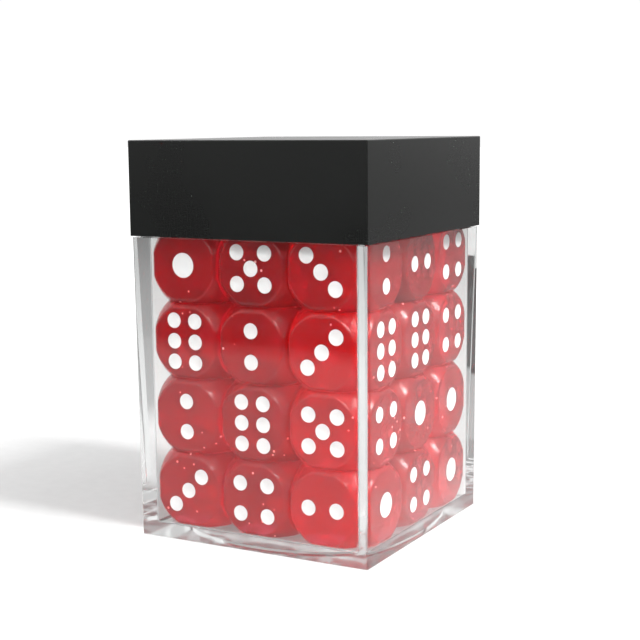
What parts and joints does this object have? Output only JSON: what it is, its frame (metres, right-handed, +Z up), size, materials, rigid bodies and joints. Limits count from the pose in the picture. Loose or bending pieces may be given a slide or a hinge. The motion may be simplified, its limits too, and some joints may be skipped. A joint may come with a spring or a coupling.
{
  "type": "clear dice box with dice",
  "caption": "Clear square plastic tub with a black lift-off lid, filled with small rounded red dice with white pips.",
  "frame": {"origin": "middle of the underside, on the surface that the box stands on", "axes": "+Z up through the lid; -Y is the front wall and +X the right wall"},
  "size_m": [0.0418, 0.0418, 0.0632],
  "materials": {
    "clear_plastic": "clear polished moulded plastic",
    "lid_plastic": "satin black moulded plastic",
    "dice_plastic": "polished translucent red plastic",
    "pip_paint": "white paint in the pips"
  },
  "bodies": {
    "clear_box": {"clear_box": "clear_plastic"},
    "lid": {"lid": "lid_plastic"},
    "die_left_front_1": {"die_left_front_1": "dice_plastic"},
    "die_middle_front_1": {"die_middle_front_1": "dice_plastic"},
    "die_right_front_1": {"die_right_front_1": "dice_plastic"},
    "die_left_middle_1": {"die_left_middle_1": "dice_plastic"},
    "die_middle_middle_1": {"die_middle_middle_1": "dice_plastic"},
    "die_right_middle_1": {"die_right_middle_1": "dice_plastic"},
    "die_left_back_1": {"die_left_back_1": "dice_plastic"},
    "die_middle_back_1": {"die_middle_back_1": "dice_plastic"},
    "die_right_back_1": {"die_right_back_1": "dice_plastic"},
    "die_left_front_2": {"die_left_front_2": "dice_plastic"},
    "die_middle_front_2": {"die_middle_front_2": "dice_plastic"},
    "die_right_front_2": {"die_right_front_2": "dice_plastic"},
    "die_left_middle_2": {"die_left_middle_2": "dice_plastic"},
    "die_middle_middle_2": {"die_middle_middle_2": "dice_plastic"},
    "die_right_middle_2": {"die_right_middle_2": "dice_plastic"},
    "die_left_back_2": {"die_left_back_2": "dice_plastic"},
    "die_middle_back_2": {"die_middle_back_2": "dice_plastic"},
    "die_right_back_2": {"die_right_back_2": "dice_plastic"},
    "die_left_front_3": {"die_left_front_3": "dice_plastic"},
    "die_middle_front_3": {"die_middle_front_3": "dice_plastic"},
    "die_right_front_3": {"die_right_front_3": "dice_plastic"},
    "die_left_middle_3": {"die_left_middle_3": "dice_plastic"},
    "die_middle_middle_3": {"die_middle_middle_3": "dice_plastic"},
    "die_right_middle_3": {"die_right_middle_3": "dice_plastic"},
    "die_left_back_3": {"die_left_back_3": "dice_plastic"},
    "die_middle_back_3": {"die_middle_back_3": "dice_plastic"},
    "die_right_back_3": {"die_right_back_3": "dice_plastic"},
    "die_left_front_4": {"die_left_front_4": "dice_plastic"},
    "die_middle_front_4": {"die_middle_front_4": "dice_plastic"},
    "die_right_front_4": {"die_right_front_4": "dice_plastic"},
    "die_left_middle_4": {"die_left_middle_4": "dice_plastic"},
    "die_middle_middle_4": {"die_middle_middle_4": "dice_plastic"},
    "die_right_middle_4": {"die_right_middle_4": "dice_plastic"},
    "die_left_back_4": {"die_left_back_4": "dice_plastic"},
    "die_middle_back_4": {"die_middle_back_4": "dice_plastic"},
    "die_right_back_4": {"die_right_back_4": "dice_plastic"}
  },
  "joints": [
    {"name": "lid_lift", "type": "slide", "parent": "clear_box", "child": "lid", "axis": [0, 0, 1], "range_m": [0, 0.06]},
    {"name": "lift_die_left_front_1", "type": "slide", "parent": "clear_box", "child": "die_left_front_1", "axis": [0, 0, 1], "range_m": [0, 0.0112]},
    {"name": "lift_die_left_front_2", "type": "slide", "parent": "die_left_front_1", "child": "die_left_front_2", "axis": [0, 0, 1], "range_m": [0, 0.0112]},
    {"name": "lift_die_left_front_3", "type": "slide", "parent": "die_left_front_2", "child": "die_left_front_3", "axis": [0, 0, 1], "range_m": [0, 0.0112]},
    {"name": "lift_die_left_front_4", "type": "slide", "parent": "die_left_front_3", "child": "die_left_front_4", "axis": [0, 0, 1], "range_m": [0, 0.0112]},
    {"name": "lift_die_left_middle_1", "type": "slide", "parent": "clear_box", "child": "die_left_middle_1", "axis": [0, 0, 1], "range_m": [0, 0.0112]},
    {"name": "lift_die_left_middle_2", "type": "slide", "parent": "die_left_middle_1", "child": "die_left_middle_2", "axis": [0, 0, 1], "range_m": [0, 0.0112]},
    {"name": "lift_die_left_middle_3", "type": "slide", "parent": "die_left_middle_2", "child": "die_left_middle_3", "axis": [0, 0, 1], "range_m": [0, 0.0112]},
    {"name": "lift_die_left_middle_4", "type": "slide", "parent": "die_left_middle_3", "child": "die_left_middle_4", "axis": [0, 0, 1], "range_m": [0, 0.0112]},
    {"name": "lift_die_left_back_1", "type": "slide", "parent": "clear_box", "child": "die_left_back_1", "axis": [0, 0, 1], "range_m": [0, 0.0112]},
    {"name": "lift_die_left_back_2", "type": "slide", "parent": "die_left_back_1", "child": "die_left_back_2", "axis": [0, 0, 1], "range_m": [0, 0.0112]},
    {"name": "lift_die_left_back_3", "type": "slide", "parent": "die_left_back_2", "child": "die_left_back_3", "axis": [0, 0, 1], "range_m": [0, 0.0112]},
    {"name": "lift_die_left_back_4", "type": "slide", "parent": "die_left_back_3", "child": "die_left_back_4", "axis": [0, 0, 1], "range_m": [0, 0.0112]},
    {"name": "lift_die_middle_front_1", "type": "slide", "parent": "clear_box", "child": "die_middle_front_1", "axis": [0, 0, 1], "range_m": [0, 0.0112]},
    {"name": "lift_die_middle_front_2", "type": "slide", "parent": "die_middle_front_1", "child": "die_middle_front_2", "axis": [0, 0, 1], "range_m": [0, 0.0112]},
    {"name": "lift_die_middle_front_3", "type": "slide", "parent": "die_middle_front_2", "child": "die_middle_front_3", "axis": [0, 0, 1], "range_m": [0, 0.0112]},
    {"name": "lift_die_middle_front_4", "type": "slide", "parent": "die_middle_front_3", "child": "die_middle_front_4", "axis": [0, 0, 1], "range_m": [0, 0.0112]},
    {"name": "lift_die_middle_middle_1", "type": "slide", "parent": "clear_box", "child": "die_middle_middle_1", "axis": [0, 0, 1], "range_m": [0, 0.0112]},
    {"name": "lift_die_middle_middle_2", "type": "slide", "parent": "die_middle_middle_1", "child": "die_middle_middle_2", "axis": [0, 0, 1], "range_m": [0, 0.0112]},
    {"name": "lift_die_middle_middle_3", "type": "slide", "parent": "die_middle_middle_2", "child": "die_middle_middle_3", "axis": [0, 0, 1], "range_m": [0, 0.0112]},
    {"name": "lift_die_middle_middle_4", "type": "slide", "parent": "die_middle_middle_3", "child": "die_middle_middle_4", "axis": [0, 0, 1], "range_m": [0, 0.0112]},
    {"name": "lift_die_middle_back_1", "type": "slide", "parent": "clear_box", "child": "die_middle_back_1", "axis": [0, 0, 1], "range_m": [0, 0.0112]},
    {"name": "lift_die_middle_back_2", "type": "slide", "parent": "die_middle_back_1", "child": "die_middle_back_2", "axis": [0, 0, 1], "range_m": [0, 0.0112]},
    {"name": "lift_die_middle_back_3", "type": "slide", "parent": "die_middle_back_2", "child": "die_middle_back_3", "axis": [0, 0, 1], "range_m": [0, 0.0112]},
    {"name": "lift_die_middle_back_4", "type": "slide", "parent": "die_middle_back_3", "child": "die_middle_back_4", "axis": [0, 0, 1], "range_m": [0, 0.0112]},
    {"name": "lift_die_right_front_1", "type": "slide", "parent": "clear_box", "child": "die_right_front_1", "axis": [0, 0, 1], "range_m": [0, 0.0112]},
    {"name": "lift_die_right_front_2", "type": "slide", "parent": "die_right_front_1", "child": "die_right_front_2", "axis": [0, 0, 1], "range_m": [0, 0.0112]},
    {"name": "lift_die_right_front_3", "type": "slide", "parent": "die_right_front_2", "child": "die_right_front_3", "axis": [0, 0, 1], "range_m": [0, 0.0112]},
    {"name": "lift_die_right_front_4", "type": "slide", "parent": "die_right_front_3", "child": "die_right_front_4", "axis": [0, 0, 1], "range_m": [0, 0.0112]},
    {"name": "lift_die_right_middle_1", "type": "slide", "parent": "clear_box", "child": "die_right_middle_1", "axis": [0, 0, 1], "range_m": [0, 0.0112]},
    {"name": "lift_die_right_middle_2", "type": "slide", "parent": "die_right_middle_1", "child": "die_right_middle_2", "axis": [0, 0, 1], "range_m": [0, 0.0112]},
    {"name": "lift_die_right_middle_3", "type": "slide", "parent": "die_right_middle_2", "child": "die_right_middle_3", "axis": [0, 0, 1], "range_m": [0, 0.0112]},
    {"name": "lift_die_right_middle_4", "type": "slide", "parent": "die_right_middle_3", "child": "die_right_middle_4", "axis": [0, 0, 1], "range_m": [0, 0.0112]},
    {"name": "lift_die_right_back_1", "type": "slide", "parent": "clear_box", "child": "die_right_back_1", "axis": [0, 0, 1], "range_m": [0, 0.0112]},
    {"name": "lift_die_right_back_2", "type": "slide", "parent": "die_right_back_1", "child": "die_right_back_2", "axis": [0, 0, 1], "range_m": [0, 0.0112]},
    {"name": "lift_die_right_back_3", "type": "slide", "parent": "die_right_back_2", "child": "die_right_back_3", "axis": [0, 0, 1], "range_m": [0, 0.0112]},
    {"name": "lift_die_right_back_4", "type": "slide", "parent": "die_right_back_3", "child": "die_right_back_4", "axis": [0, 0, 1], "range_m": [0, 0.0112]}
  ]
}
